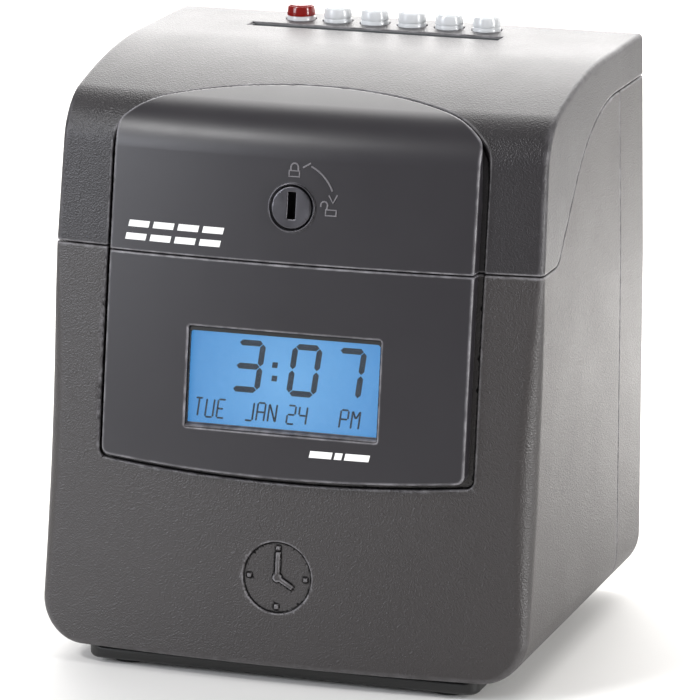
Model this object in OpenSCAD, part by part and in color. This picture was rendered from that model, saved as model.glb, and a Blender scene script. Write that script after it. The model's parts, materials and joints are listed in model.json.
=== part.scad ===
// Punch time clock: a two-piece case with a hinged, lockable top cover, a lit display,
// six push buttons, a card slot and the printing mechanism behind it.
// Millimetres. X is to the right, Y to the back, Z up. The feet rest on z = 0.

/* [Case] */
// Width of the case
case_w = 200; // [190:1:210]
// Height of the flat top face above the table
case_h = 234; // [232:1:236]
// Y of the front face at the bottom edge
front_y = -87; // [-89:1:-86]
// Y of the flat back face
back_y = 84; // [84:1:86]
// Height of the lower edge of the case above the table
case_z0 = 8; // [8:0.5:9]
// Wall thickness of the moulded shells
wall = 3; // [2.6:0.1:3.2]
// Gap at the parting lines
seam_gap = 0.5; // [0.4:0.1:0.8]
// Radius of the lower corners, seen from the front
foot_corner_r = 18; // [15:1:20]
// Radius of the upright front edges of the lower case
front_edge_r = 6; // [5:1:9]
// Radius of the crown of the front, seen from above
crown_r = 820; // [780:10:860]
// How much each side of the cover leans in at the top
cover_draft = 1.7; // [1:0.1:2.4]

/* [Parting line of the cover] */
// Height of the parting line at the front
seam_front_z = 165; // [164:0.5:167]
// Height of the parting line at the back
seam_back_z = 217; // [216:0.5:218]
// Y where the parting line turns level at the back
seam_level_y = 43.3; // [42:0.5:46]
// Radius of the upper bend of the parting line
seam_bend_r = 78; // [74:1:82]
// Radius of the lower bend of the parting line
seam_foot_r = 10; // [8:1:12]
// Steepest slope of the parting line, in degrees
seam_slope = 47; // [44:1:50]
// Y of the upright joint between the front and rear housings
shell_joint_y = 48.5; // [47:0.5:50]

/* [Fascia] */
// Half the width of the raised centre panel
fascia_half_w = 74.2; // [72:0.2:76]
// How far the panel's face stands in front of the case
fascia_proud = 4.5; // [4:0.5:6]
// Lowest point of the panel's curved lower edge
fascia_z0 = 82.5; // [80:0.5:85]
// Radius of the arched upper edge, seen from above
arch_r = 130; // [128:1:134]
// Y of the crest of the arched upper edge
arch_y = -31.5; // [-34:0.5:-29]
// Width of the groove round the panel
groove_w = 2.6; // [1.4:0.1:3]

/* [Display] */
// Width of the display opening
display_w = 78.6; // [76:0.2:80]
// Height of the display opening
display_h = 39.4; // [38:0.2:41]
// Height of the middle of the display
display_z = 119.4; // [118:0.2:121]

/* [Lock] */
// Height of the lock's axis on the front face
lock_z = 186.8; // [184:0.2:189]
// Radius of the turning plug
plug_r = 8.2; // [7.6:0.1:8.4]
// Length of the cam, from the lock's axis to its tip
cam_len = 28; // [26:0.5:29]

/* [Slot and buttons] */
// X of the middle of the card slot
slot_x = -5.5; // [-7:0.5:-4]
// Y of the middle of the card slot
slot_y = 53.3; // [53:0.1:53.6]
// Length of the card slot
slot_len = 106; // [104:1:108]
// Width of the card slot, front to back
slot_w = 7.6; // [7.2:0.2:8]
// Number of push buttons
button_count = 6; // [6]
// Distance between button centres
button_pitch = 15.84; // [15.6:0.02:16]
// X of the first button
button_x0 = -42.5; // [-43:0.5:-42]
// Y of the row of buttons
button_y = 70.3; // [70:0.1:70.6]
// Radius of a button
button_r = 5.9; // [5.6:0.1:6]
// Travel of a button
button_travel = 1.5; // [1:0.1:1.6]

/* [Mechanism] */
// Teeth of the gear on the feed shaft
feed_teeth = 40; // [40]
// Teeth of the feed motor's pinion
pinion_teeth = 12; // [12]
// Radius of the feed roller
feed_r = 8; // [7.6:0.1:8.2]
// Radius of the pinch roller
pinch_r = 5.6; // [5.6:0.1:5.8]
// Pitch radius of the carriage belt's pulleys
pulley_r = 6; // [6]

/* [Hidden] */
$fn = 64;
eps = 0.01;

// Thickness of the circuit boards
board_t = 1.6;

// Colours
charcoal = [0.27, 0.26, 0.27];
panel_grey = [0.24, 0.24, 0.26];
black = [0.08, 0.08, 0.09];
steel = [0.66, 0.67, 0.69];
board_green = [0.10, 0.33, 0.20];
clear_grey = [0.88, 0.90, 0.92];

// Side outline of the case: the front leans back and bows slightly, the top falls to the front.
half_w = case_w / 2;
front_lean = 0.112;
front_bow_r = 3030;
bend_z = case_h - 15;
bend_soft = 7;
top_level_y = 24.7;
function front_at(z) = front_y + front_lean * (z - case_z0) + pow(z - case_z0, 2) / (2 * front_bow_r);
function front_tilt(z) = atan(front_lean + (z - case_z0) / front_bow_r);
bend_y = front_at(bend_z);
top_bow_r = pow(top_level_y - bend_y, 2) / (2 * (case_h - bend_z));
function top_at(y) = case_h - pow(max(0, top_level_y - y), 2) / (2 * top_bow_r);
function bezier(a, b, c, t) = (1 - t) * (1 - t) * a + 2 * t * (1 - t) * b + t * t * c;

// Points (y, z) of the side outline, moved back and up
front_steps = 6;
top_steps = 8;
function side_outline(back, up) = let (
    za = bend_z - bend_soft, yb = bend_y + bend_soft,
    a = [front_at(za) + back, za + up], b = [bend_y + back, bend_z + up], c = [yb + back, top_at(yb) + up])
    concat(
        [for (i = [0:front_steps - 1]) let (z = case_z0 + (za - case_z0) * i / front_steps)
            [front_at(z) + back, z + up]],
        [for (t = [0:0.25:1]) bezier(a, b, c, t)],
        [for (i = [1:top_steps]) let (y = yb + (top_level_y - yb) * i / top_steps)
            [y + back, top_at(y) + up]],
        [[back_y + 30, case_h + up], [back_y + 30, case_z0 - 20], [front_at(case_z0) + back, case_z0 - 20]]);

// Front outline of the case, (x, z), moved inwards by d
module front_outline(d) {
    r = foot_corner_r - d;
    z0 = case_z0 + d;
    w = half_w - d;
    side_z = seam_front_z - 20;
    polygon([[-w, z0 + r], [w, z0 + r], [w, side_z], [w - cover_draft, case_h + 10],
        [-w + cover_draft, case_h + 10], [-w, side_z]]);
    translate([-w + r, z0]) square([2 * (w - r), r + eps]);
    for (s = [-1, 1]) translate([s * (w - r), z0 + r]) circle(r);
}

// Extrudes an (x, z) outline from y0 to y1
module along_y(y0, y1) {
    translate([0, y1, 0]) rotate([90, 0, 0]) linear_extrude(y1 - y0) children();
}

// Extrudes a (y, z) outline from x0 to x1
module along_x(x0, x1) {
    translate([x0, 0, 0]) rotate([90, 0, 90]) linear_extrude(x1 - x0) children();
}

module box(a, b) {
    translate(a) cube([b[0] - a[0], b[1] - a[1], b[2] - a[2]]);
}

module rod_x(x0, x1, y, z, r) {
    translate([x0, y, z]) rotate([0, 90, 0]) cylinder(h = x1 - x0, r = r);
}

module rod_y(y0, y1, x, z, r) {
    translate([x, y1, z]) rotate([90, 0, 0]) cylinder(h = y1 - y0, r = r);
}

module rod_z(z0, z1, x, y, r) {
    translate([x, y, z0]) cylinder(h = z1 - z0, r = r);
}

// The case as one block with a crowned front, turned about an upright axis. Its side outline is
// moved back and up, and its front outline inwards by d.
crown_y = front_y + crown_r;
crown_fn = 720;
module moved_case(d, back, up) {
    intersection() {
        translate([0, crown_y, 0]) rotate([0, 0, -90]) rotate_extrude($fn = crown_fn)
            polygon([for (p = side_outline(back, up)) [crown_y - p[0], p[1]]]);
        along_y(front_y - 20, back_y - d) front_outline(d);
    }
}

// The case moved inwards by d on every side
module case_block(d) {
    moved_case(d, d, -d);
}

// What rounds the two upright front edges of the lower case
edge_base_y = crown_y - sqrt(pow(crown_r - front_edge_r, 2) - pow(half_w - front_edge_r, 2));
edge_tilt = front_tilt((case_z0 + seam_front_z) / 2);
module edge_cutters() {
    for (s = [0, 1]) mirror([s, 0, 0])
        translate([half_w - front_edge_r, edge_base_y, case_z0]) rotate([-edge_tilt, 0, 0])
            translate([0, 0, -20]) linear_extrude(seam_front_z + 20) difference() {
                translate([0, -40]) square([front_edge_r + 10, 40]);
                circle(front_edge_r);
            }
}

// Parting line between cover and housings, (y, z) points, moved upwards by s
bend_c = [seam_level_y, seam_back_z - seam_bend_r];
slope_end = bend_c + seam_bend_r * [-sin(seam_slope), cos(seam_slope)];
slope_foot_y = slope_end[0] - (slope_end[1] - seam_front_z) / tan(seam_slope);
foot_c = [slope_foot_y - seam_foot_r * tan(seam_slope / 2), seam_front_z + seam_foot_r];
far = 130;
function seam_line(s) = concat(
    [[-far, seam_front_z + s]],
    [for (i = [0:4]) let (a = seam_slope * i / 4) foot_c + (seam_foot_r - s) * [sin(a), -cos(a)]],
    [for (i = [0:8]) let (a = seam_slope * (8 - i) / 8) bend_c + (seam_bend_r + s) * [-sin(a), cos(a)]],
    [[far, seam_back_z + s]]);
module above_seam() {
    along_x(-far, far) polygon(concat(seam_line(seam_gap / 2), [[far, case_h + 40], [-far, case_h + 40]]));
}
module below_seam() {
    along_x(-far, far) polygon(concat(seam_line(-seam_gap / 2), [[far, -40], [-far, -40]]));
}

// Outline of the raised panel, drawn in by e, between heights z0 and z1
fascia_edge_r = 830;
fascia_corner_r = 3;
module fascia_column(e, z0, z1) {
    w = fascia_half_w - e;
    r = max(fascia_corner_r - e, 0.4);
    edge_r = fascia_edge_r - e;
    edge_z = fascia_z0 + fascia_edge_r;
    corner_z = edge_z - sqrt(pow(edge_r - r, 2) - pow(w - r, 2));
    intersection() {
        along_y(front_y - 20, arch_y + 20) intersection() {
            difference() {
                translate([-w, 0]) square([2 * w, case_h + 20]);
                for (s = [-1, 1]) difference() {
                    translate([s > 0 ? w - r : -w - 1, 0]) square([r + 1, corner_z]);
                    translate([s * (w - r), corner_z]) circle(r);
                }
            }
            translate([0, edge_z]) circle(edge_r, $fn = 360);
        }
        translate([0, arch_y - arch_r, z0]) cylinder(h = z1 - z0, r = arch_r - e, $fn = 180);
    }
}

// A tray with a rim, for either half of the panel
pocket = 1.5;
skin = 2;
module fascia_tray(z0, z1) {
    difference() {
        intersection() {
            moved_case(-fascia_proud, -fascia_proud, 0);
            fascia_column(0, z0, z1);
        }
        intersection() {
            moved_case(-fascia_proud, skin - fascia_proud, -skin);
            fascia_column(skin, z0 + skin, z1 - skin);
        }
        case_block(pocket);
    }
}

// The recess that holds the trays, with the groove round them
module fascia_recess() {
    difference() {
        fascia_column(-groove_w, 0, case_h + 20);
        case_block(pocket);
    }
}

// Frame of the display: origin on the panel's face, X right, Y into the case, Z up its slope
module at_display() {
    translate([0, front_at(display_z) - fascia_proud, display_z])
        rotate([-front_tilt(display_z), 0, 0]) children();
}

// Frame of the lock: origin on the panel's face, Z out along its axis, Y up the face
lock_x = 0.8;
module at_lock() {
    translate([lock_x, front_at(lock_z) - fascia_proud, lock_z])
        rotate([90 - front_tilt(lock_z), 0, 0]) children();
}

// A flat plate in the display's frame
module display_plate(w, h, y0, y1) {
    box([-w / 2, y0, -h / 2], [w / 2, y1, h / 2]);
}

/* ---- Case ---- */

// Screws that hold the housings to the base plate
base_screw_at = [[-50, -55], [50, -55], [-50, 20], [50, 20], [-45, 64], [45, 64]];
boss_top = case_z0 + wall + 9;
screw_bore_r = 1.55;
module base_bosses(first, last) {
    for (i = [first:last]) difference() {
        rod_z(case_z0 + wall - eps, boss_top, base_screw_at[i][0], base_screw_at[i][1], 3.5);
        rod_z(case_z0, boss_top + 1, base_screw_at[i][0], base_screw_at[i][1], screw_bore_r);
    }
}

// Debossed disc on the lower front, with a hub, two clock hands and four hour marks left standing
mark_z = 43.3;
mark_r = 14;
mark_depth = 0.9;
hand_w = 1.8;
module at_mark() {
    translate([0, front_at(mark_z), mark_z]) rotate([90 - front_tilt(mark_z), 0, 0]) children();
}
module debossed_mark() {
    at_mark() translate([0, 0, -mark_depth]) linear_extrude(3) difference() {
        circle(mark_r);
        circle(hand_w);
        translate([-hand_w / 2, 0]) square([hand_w, 10]);
        rotate(-120) translate([-hand_w / 2, 0]) square([hand_w, 7.4]);
        for (a = [0:90:270]) rotate(a) translate([-0.8, 10.6]) square([1.6, 1.8]);
    }
}

// Ledge behind the front wall that guides the tip of the lock's cam
module cam_guide() {
    box([-9, front_at(150) + wall - 1, 149], [10, -43.5, 151]);
    box([-9, -45.5, 151 - eps], [10, -43.5, 162]);
}

module front_housing() {
    color(charcoal) difference() {
        union() {
            difference() {
                intersection() {
                    case_block(0);
                    below_seam();
                    box([-half_w - 5, front_y - 20, 0], [half_w + 5, shell_joint_y - seam_gap / 2, case_h]);
                }
                case_block(wall);
                edge_cutters();
            }
            base_bosses(0, 3);
            cam_guide();
        }
        fascia_recess();
        at_display() display_plate(display_w + 13.4, display_h + 14.6, 0, 12);
        debossed_mark();
        for (i = [0:3]) rod_z(0, case_z0 + wall + 1, base_screw_at[i][0], base_screw_at[i][1], screw_bore_r);
    }
}

// Hinge on the outer edge of the back, and its knuckles
hinge_z = seam_back_z + 0.25;
hinge_r = 3;
hinge_pin_r = 1.5;
hinge_bore_r = hinge_pin_r + 0.05;
hinge_x = 72;
cover_knuckle_half = 5.6;
case_knuckle_len = 6;
knuckle_gap = 0.4;
hinge_half = cover_knuckle_half + knuckle_gap + case_knuckle_len;
module knuckle(x0, x1) {
    difference() {
        rod_x(x0, x1, back_y, hinge_z, hinge_r);
        rod_x(x0 - 1, x1 + 1, back_y, hinge_z, hinge_bore_r);
    }
}
module knuckle_notch(x0, x1, z0, z1) {
    box([x0, back_y - wall - 1, z0], [x1, back_y + hinge_r + 1, z1]);
}
module case_knuckles(notch) {
    x0 = cover_knuckle_half + knuckle_gap;
    for (s = [-1, 1], side = [-1, 1]) {
        inner = s * hinge_x + (side > 0 ? x0 : -x0 - case_knuckle_len);
        if (notch) knuckle_notch(inner - knuckle_gap, inner + case_knuckle_len + knuckle_gap,
            seam_back_z - 1, hinge_z + hinge_r + 0.4);
        else knuckle(inner, inner + case_knuckle_len);
    }
}
module cover_knuckles(notch) {
    for (s = [-1, 1]) {
        if (notch) knuckle_notch(s * hinge_x - cover_knuckle_half - knuckle_gap,
            s * hinge_x + cover_knuckle_half + knuckle_gap, hinge_z - hinge_r - 0.4, seam_back_z + 1);
        else knuckle(s * hinge_x - cover_knuckle_half, s * hinge_x + cover_knuckle_half);
    }
}
module hinge_bores() {
    for (s = [-1, 1])
        rod_x(s * hinge_x - hinge_half, s * hinge_x + hinge_half, back_y, hinge_z, hinge_bore_r);
}

// Holes in the back for a wall bracket, and the inlet's hole
bracket_x = 100;
bracket_z = 60;
bracket_mid_z = 110;
bracket_hole_r = 2.1;
inlet_x = -60;
inlet_z = 28;
inlet_r = 4.2;
module rear_housing() {
    color(charcoal) difference() {
        union() {
            difference() {
                intersection() {
                    case_block(0);
                    below_seam();
                    box([-half_w - 5, shell_joint_y + seam_gap / 2, 0], [half_w + 5, back_y + 5, case_h]);
                }
                case_block(wall);
            }
            base_bosses(4, 5);
            case_knuckles(false);
            for (x = [-1, 1], z = [-1, 1])
                rod_y(back_y - 8, back_y - wall + eps,
                    x * bracket_x / 2, bracket_mid_z + z * bracket_z / 2, 4.5);
        }
        cover_knuckles(true);
        hinge_bores();
        for (x = [-1, 1], z = [-1, 1])
            rod_y(back_y - 9, back_y + 1,
                x * bracket_x / 2, bracket_mid_z + z * bracket_z / 2, bracket_hole_r);
        rod_y(back_y - wall - 1, back_y + 1, inlet_x, inlet_z, inlet_r);
        for (i = [4:5]) rod_z(0, case_z0 + wall + 1, base_screw_at[i][0], base_screw_at[i][1], screw_bore_r);
    }
}

// Recessed plinth under the case, hollow from below
plinth_half_w = 80.5;
plinth_z0 = 2;
plinth_y0 = front_y + 7;
plinth_y1 = back_y - 12;
plinth_corner_r = 5;
module plinth_plan(e) {
    r = plinth_corner_r - e;
    w = plinth_half_w - e;
    y0 = plinth_y0 + e;
    y1 = plinth_y1 - e;
    translate([-w, y0 + r]) square([2 * w, y1 - y0 - 2 * r]);
    translate([-w + r, y0]) square([2 * (w - r), y1 - y0]);
    for (x = [-w + r, w - r], y = [y0 + r, y1 - r]) translate([x, y]) circle(r);
}
foot_at = [[-66, -68], [66, -68], [-66, 60], [66, 60]];
foot_r = 8;
foot_seat = 5;
module base_plate() {
    color(black) difference() {
        translate([0, 0, plinth_z0]) linear_extrude(case_z0 - plinth_z0) plinth_plan(0);
        translate([0, 0, plinth_z0 - 1]) linear_extrude(foot_seat - plinth_z0 + 1) plinth_plan(3);
        for (p = base_screw_at) rod_z(0, case_z0 + 1, p[0], p[1], 1.7);
    }
}

module rubber_feet() {
    color(black) for (p = foot_at) translate([p[0], p[1], 0]) rotate_extrude()
        polygon([[0, 0], [foot_r - 1, 0], [foot_r, 1], [foot_r, foot_seat], [0, foot_seat]]);
}

module base_screws() {
    color(steel) for (p = base_screw_at) {
        rod_z(foot_seat - 2, foot_seat, p[0], p[1], 3);
        rod_z(foot_seat, boss_top - 2, p[0], p[1], 1.5);
    }
}

/* ---- Display ---- */

window_y = 3.8;
window_t = 1.5;
lcd_y = 6;
backlight_y = 8.8;
display_board_y = 14;
module display_fascia() {
    color(panel_grey) difference() {
        fascia_tray(0, seam_front_z - seam_gap / 2);
        at_display() display_plate(display_w, display_h, -3, 8);
    }
}

// The bezel fills the space between the panel's curved back and the flat window
bezel_gap = 0.05;
module display_bezel() {
    color(panel_grey) intersection() {
        at_display() difference() {
            display_plate(display_w + 9, display_h + 8, 0, window_y);
            display_plate(display_w, display_h, -1, window_y + 1);
        }
        moved_case(-fascia_proud, skin + bezel_gap - fascia_proud, -skin);
    }
}

module display_window() {
    color([0.55, 0.78, 0.95, 0.5]) at_display()
        display_plate(display_w + 6, display_h + 6, window_y, window_y + window_t);
}

module lcd_panel() {
    color([0.36, 0.63, 0.90]) at_display() display_plate(display_w + 8, display_h + 9, lcd_y, backlight_y);
}

module display_backlight() {
    color("white") at_display() display_plate(display_w + 6, display_h + 7, backlight_y, display_board_y - 2);
}

module display_board() {
    color(board_green) at_display() {
        y1 = display_board_y + board_t;
        display_plate(112, 60, display_board_y, y1);
        box([-20, y1 - eps, -12], [6, y1 + 2, 14]);
        for (s = [-1, 1])
            box([s * 44 - 3, display_board_y - 2, -25], [s * 44 + 3, display_board_y + eps, 25]);
    }
}

/* ---- Cover ---- */

function button_x(i) = button_x0 + i * button_pitch;
button_hole_r = button_r + 0.4;
board_z1 = 221.1;
post_at = [for (i = [0.5, 4.5], y = [-7.7, 7.7]) [button_x(i), button_y + y]];
module top_cover() {
    color(charcoal) difference() {
        union() {
            difference() {
                intersection() {
                    case_block(0);
                    above_seam();
                }
                case_block(wall);
            }
            cover_knuckles(false);
            for (p = post_at) rod_z(board_z1, case_h - wall + eps, p[0], p[1], 2);
        }
        case_knuckles(true);
        hinge_bores();
        fascia_recess();
        at_lock() translate([0, 0, -20]) cylinder(h = 25, r = barrel_r + 0.05);
        box([slot_x - slot_len / 2, slot_y - slot_w / 2, case_h - 10],
            [slot_x + slot_len / 2, slot_y + slot_w / 2, case_h + 10]);
        for (i = [0:button_count - 1])
            rod_z(case_h - wall - 1, case_h + 1, button_x(i), button_y, button_hole_r);
        for (p = post_at) rod_z(board_z1 - 1, board_z1 + 6, p[0], p[1], 1.05);
    }
}

module cover_fascia() {
    color(panel_grey) difference() {
        fascia_tray(seam_front_z + seam_gap / 2, case_h + 20);
        at_lock() translate([0, 0, -20]) cylinder(h = 25, r = barrel_r + 0.05);
    }
}

// Funnel that leads the card from the cover's slot to the guides
liner_z0 = 222;
liner_wall = 1.5;
module slot_liner() {
    x0 = slot_x - slot_len / 2;
    x1 = slot_x + slot_len / 2;
    y0 = slot_y - slot_w / 2;
    y1 = slot_y + slot_w / 2;
    z1 = case_h - 0.6;
    mouth = 0.6;
    lip = 0.8;
    color(black) difference() {
        union() {
            box([x0 + 0.1, y0 + 0.1, liner_z0], [x1 - 0.1, y1 - 0.1, z1]);
            box([x0 - liner_wall, y0 - liner_wall, liner_z0],
                [x1 + liner_wall, y1 + liner_wall, case_h - wall]);
        }
        box([x0 + lip, y0 + lip, liner_z0 - 1], [x1 - lip, y1 - lip, z1 + 1]);
        along_x(x0 + lip, x1 - lip) polygon([[y0 + lip, z1 - 3], [y0 + mouth, z1 + eps],
            [y1 - mouth, z1 + eps], [y1 - lip, z1 - 3]]);
    }
}

module button_board() {
    color(board_green) difference() {
        box([button_x(0) - 10, button_y - 10, board_z1 - board_t],
            [button_x(5) + 10, button_y + 10, board_z1]);
        for (p = post_at) rod_z(board_z1 - 3, board_z1 + 1, p[0], p[1], 1.2);
    }
}

switch_top = 224.8;
module button_switches() {
    color(black) for (i = [0:button_count - 1]) {
        box([button_x(i) - 3, button_y - 3, board_z1], [button_x(i) + 3, button_y + 3, switch_top - 0.8]);
        rod_z(switch_top - 0.8 - eps, switch_top, button_x(i), button_y, 1.7);
    }
}

lamp_dx = 4.6;
module button_lamp() {
    color("red") translate([button_x(0) + lamp_dx, button_y, 0]) {
        rod_z(board_z1, board_z1 + 2.4, 0, 0, 1.4);
        translate([0, 0, board_z1 + 2.4]) sphere(1.4);
    }
}

module board_screws() {
    color(steel) for (p = post_at) {
        rod_z(board_z1 - 3, board_z1 - board_t, p[0], p[1], 2);
        rod_z(board_z1 - board_t, board_z1 + 5, p[0], p[1], 1);
    }
}

// A push button: a stem in the cover's hole, a belled cap above it and a flange under it
flange_r = 7.2;
flange_z1 = case_h - wall - 0.3;
stem_z0 = switch_top + button_travel + 0.3;
button_h = 6;
module push_button(i, tint) {
    z = case_h;
    color(tint) translate([button_x(i), button_y, 0]) rotate_extrude()
        polygon([[0, stem_z0], [2.2, stem_z0], [2.2, flange_z1 - 1.3], [flange_r, flange_z1 - 1.3],
            [flange_r, flange_z1], [button_r, flange_z1], [button_r, z + 1.7], [button_r - 0.3, z + 2],
            [button_r - 0.5, z + 4.2], [button_r - 1.1, z + 5.4], [button_r - 2.2, z + button_h],
            [0, z + button_h]]);
}
red_lamp = [0.78, 0.12, 0.10];
module button_1() { push_button(0, red_lamp); }
module button_2() { push_button(1, clear_grey); }
module button_3() { push_button(2, clear_grey); }
module button_4() { push_button(3, clear_grey); }
module button_5() { push_button(4, clear_grey); }
module button_6() { push_button(5, clear_grey); }

/* ---- Lock ---- */

barrel_r = plug_r + 0.8;
ring_r = 9.6;
ring_up = 0.9;
ring_gap = 0.08;
lock_depth = 19.5;
module lock_barrel() {
    color(steel) at_lock() difference() {
        union() {
            translate([0, 0, ring_gap]) cylinder(h = ring_up, r = ring_r);
            translate([0, 0, -lock_depth]) cylinder(h = lock_depth + ring_gap + eps, r = barrel_r);
        }
        translate([0, 0, -30]) cylinder(h = 40, r = plug_r + 0.05);
    }
}

nut_h = 3.6;
nut_gap = 0.9;
module lock_nut() {
    color(steel) at_lock() translate([0, 0, -fascia_proud - wall - nut_gap - nut_h]) difference() {
        cylinder(h = nut_h, r = 12.5, $fn = 6);
        translate([0, 0, -1]) cylinder(h = nut_h + 2, r = barrel_r + 0.05);
    }
}

keyway_w = 3.2;
keyway_h = 10.4;
module lock_plug() {
    color(steel) at_lock() difference() {
        translate([0, 0, -lock_depth - 0.3]) cylinder(h = lock_depth + 0.9, r = plug_r);
        translate([-keyway_w / 2, -keyway_h / 2, -11]) cube([keyway_w, keyway_h, 13]);
        translate([0, 0, -lock_depth - 1]) cylinder(h = 7, r = 1.6);
    }
}

cam_z1 = -lock_depth - 0.3;
module lock_cam() {
    color(steel) at_lock() translate([0, 0, cam_z1 - 2]) linear_extrude(2) difference() {
        union() {
            circle(7.5);
            translate([-5.5, -cam_len]) square([11, cam_len]);
        }
        circle(1.6);
    }
}

module lock_screw() {
    color(steel) at_lock() {
        translate([0, 0, cam_z1 - 4.2]) cylinder(h = 2.2, r = 3.2);
        translate([0, 0, cam_z1 - 2.1]) cylinder(h = 7.5, r = 1.5);
    }
}

module hinge_pins() {
    color(steel) for (s = [-1, 1])
        rod_x(s * hinge_x - hinge_half, s * hinge_x + hinge_half, back_y, hinge_z, hinge_pin_r);
}

/* ---- Chassis ---- */

// Two upright side frames with feet, 1.5 mm sheet
frame_x0 = slot_x - 66;
frame_x1 = slot_x + 64.5;
sheet = 1.5;
floor_z = case_z0 + wall;
card_clear = 0.3;
feed_y = slot_y - card_clear - feed_r;
feed_z = 112;
pinch_y = slot_y + card_clear + pinch_r;
rod_r = 3;
rod_at = [30, 160];
rail_at = [30, 187];
pitch = 1;
gear_gap = (feed_teeth + pinion_teeth) * pitch / 2;
pinion_angle = 203;
pinion_at = [feed_y + gear_gap * cos(pinion_angle), feed_z + gear_gap * sin(pinion_angle)];
module side_frame(x0, foot_side) {
    color(steel) difference() {
        union() {
            along_x(x0, x0 + sheet) polygon([[4, floor_z], [66, floor_z], [66, 130],
                [60, 212], [10, 212], [4, 130]]);
            box([foot_side > 0 ? x0 : x0 - 12, 4, floor_z],
                [foot_side > 0 ? x0 + sheet + 12 : x0 + sheet, 66, floor_z + sheet]);
        }
        rod_x(x0 - 1, x0 + 3, feed_y, feed_z, 2.55);
        rod_x(x0 - 1, x0 + 3, pinch_y, feed_z, 1.55);
        rod_x(x0 - 1, x0 + 3, pinion_at[0], pinion_at[1], 5);
        for (p = [rod_at, rail_at]) rod_x(x0 - 1, x0 + 3, p[0], p[1], rod_r);
        for (y = frame_screw_y) rod_z(0, floor_z + 3, x0 + sheet / 2 + foot_side * 6.5, y, 1.7);
        along_x(x0 - 1, x0 + 3) polygon([[14, 30], [56, 30], [56, 80], [14, 80]]);
    }
}
frame_screw_y = [12, 44];
module frame_left() { side_frame(frame_x0, -1); }
module frame_right() { side_frame(frame_x1, 1); }

module frame_screws() {
    color(steel) for (f = [[frame_x0, -1], [frame_x1, 1]], y = frame_screw_y)
        rod_z(floor_z + sheet, floor_z + sheet + 2, f[0] + sheet / 2 + f[1] * 6.5, y, 3);
}

// Card guides: the card drops between them and rests on the stop
guide_gap = 5;
guide_z0 = 66;
guide_z1 = 220;
guide_x0 = frame_x0 + sheet;
guide_x1 = frame_x1;
roller_at = [-24, 24];
roller_len = 16;
print_z = 166;
print_h = 14;
module roller_windows(y0, y1) {
    for (x = roller_at) box([slot_x + x - roller_len / 2 - 1, y0, feed_z - 10],
        [slot_x + x + roller_len / 2 + 1, y1, feed_z + 10]);
}
module card_guide_front() {
    y1 = slot_y - guide_gap / 2;
    color(steel) difference() {
        box([guide_x0, y1 - sheet, guide_z0], [guide_x1, y1, guide_z1]);
        roller_windows(y1 - 3, y1 + 1);
        box([slot_x - 48, y1 - 3, print_z - print_h / 2], [slot_x + 48, y1 + 1, print_z + print_h / 2]);
    }
}
module card_guide_rear() {
    y0 = slot_y + guide_gap / 2;
    color(steel) difference() {
        union() {
            box([guide_x0, y0, guide_z0], [guide_x1, y0 + sheet, guide_z1]);
            for (x = [slot_x - 54, slot_x + 52.5])
                box([x, y0 - guide_gap, guide_z0], [x + sheet, y0 + eps, guide_z1]);
        }
        roller_windows(y0 - 1, y0 + 3);
    }
}
module card_stop() {
    color(black) box([slot_x - 52, slot_y - guide_gap / 2 + 0.2, guide_z0],
        [slot_x + 52, slot_y + guide_gap / 2 - 0.2, guide_z0 + 5]);
}

/* ---- Print carriage ---- */

carriage_half = 13;
belt_y0 = 14;
belt_w = 4;
belt_t = 1.2;
pulley_z = 174;
pulley_x = [slot_x - 50, slot_x + 50];
module carriage_rod() {
    color(steel) for (p = [rod_at, rail_at]) rod_x(frame_x0, frame_x1 + sheet, p[0], p[1], rod_r);
}
module print_carriage() {
    x0 = slot_x - carriage_half;
    x1 = slot_x + carriage_half;
    belt_top = pulley_z + pulley_r + belt_t;
    color(black) difference() {
        union() {
            box([x0, 22, 153], [x1, 40, 194]);
            box([slot_x - 6, belt_y0 - 1, belt_top + 0.4], [slot_x + 6, 22 + eps, belt_top + 2.4]);
            box([slot_x - 6, belt_y0 - 1, belt_top - belt_t - 2.4],
                [slot_x + 6, 22 + eps, belt_top - belt_t - 0.4]);
        }
        for (p = [rod_at, rail_at]) rod_x(x0 - 1, x1 + 1, p[0], p[1], rod_r + 0.06);
    }
}
module print_head() {
    color(steel) {
        box([slot_x - 9, 40, print_z - 11], [slot_x + 9, 46, print_z + 11]);
        box([slot_x - 3, 46 - eps, print_z - 5], [slot_x + 3, 48, print_z + 5]);
    }
}

plate_y = 10;
module motor_plate() {
    color(steel) {
        difference() {
            box([guide_x0, plate_y, pulley_z - 14], [guide_x1, plate_y + sheet, pulley_z + 14]);
            rod_y(plate_y - 1, plate_y + 3, pulley_x[0], pulley_z, 4);
        }
        rod_y(plate_y + sheet - eps, belt_y0 + belt_w + 2, pulley_x[1], pulley_z, 1.5);
    }
}
module carriage_motor() {
    color(steel) difference() {
        rod_y(plate_y - 22, plate_y, pulley_x[0], pulley_z, 11);
        rod_y(plate_y - 12, plate_y + 1, pulley_x[0], pulley_z, 1.06);
    }
}
module pulley_wheel(x) {
    rod_y(belt_y0 - 0.3, belt_y0 + belt_w + 0.3, x, pulley_z, pulley_r - 0.05);
    rod_y(belt_y0 - 1.2, belt_y0 - 0.3 + eps, x, pulley_z, pulley_r + belt_t);
    rod_y(belt_y0 + belt_w + 0.3 - eps, belt_y0 + belt_w + 1.2, x, pulley_z, pulley_r + belt_t);
}
module drive_pulley() {
    color(steel) {
        pulley_wheel(pulley_x[0]);
        rod_y(plate_y - 11, belt_y0, pulley_x[0], pulley_z, 1);
    }
}
module idler_pulley() {
    color(steel) difference() {
        pulley_wheel(pulley_x[1]);
        rod_y(plate_y, belt_y0 + 20, pulley_x[1], pulley_z, 1.56);
    }
}
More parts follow.
